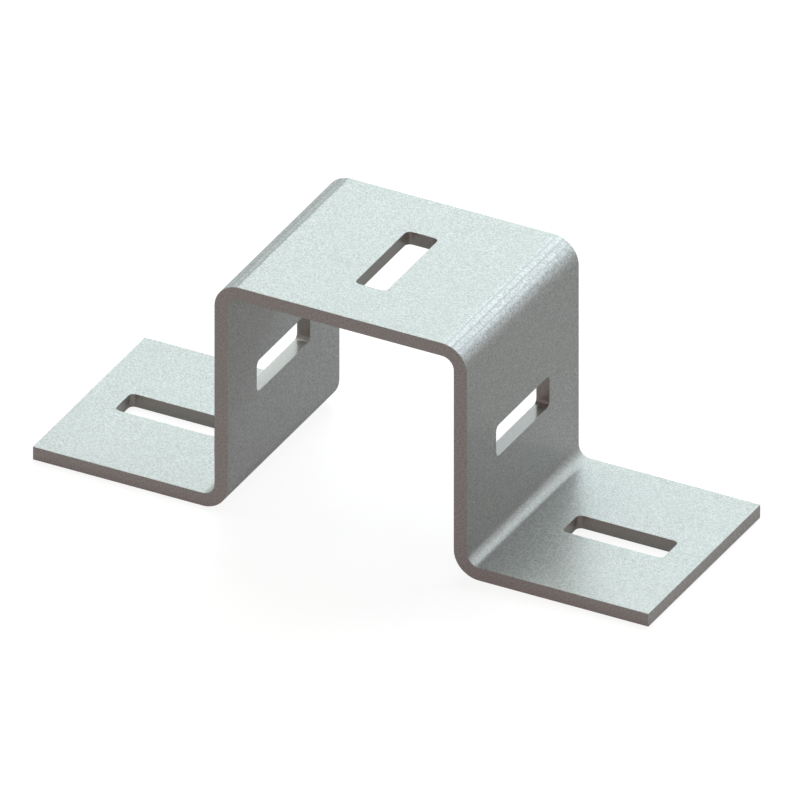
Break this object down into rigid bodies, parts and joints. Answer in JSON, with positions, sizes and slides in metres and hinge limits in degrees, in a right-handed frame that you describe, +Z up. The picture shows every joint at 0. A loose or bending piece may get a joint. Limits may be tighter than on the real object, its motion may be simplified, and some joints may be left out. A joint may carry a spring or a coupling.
{
  "type": "strut cross connector",
  "caption": "Hat-shaped bracket folded from sheet steel: it straddles a strut channel and bolts down to a channel crossing below, with a slot in the top, each wall and each flange.",
  "frame": {"origin": "middle of the footprint, level with the undersides of the flanges", "axes": "+X across the bracket from the left flange to the right one, +Y along the channel that it straddles, +Z up from the flanges to the top"},
  "size_m": [0.116, 0.04, 0.0443],
  "materials": {
    "galvanised_sheet": "satin pale zinc, finely grained on the faces, darker and warmer on the cut edges"
  },
  "bodies": {
    "root": {"hat_bracket": "galvanised_sheet"}
  },
  "joints": []
}
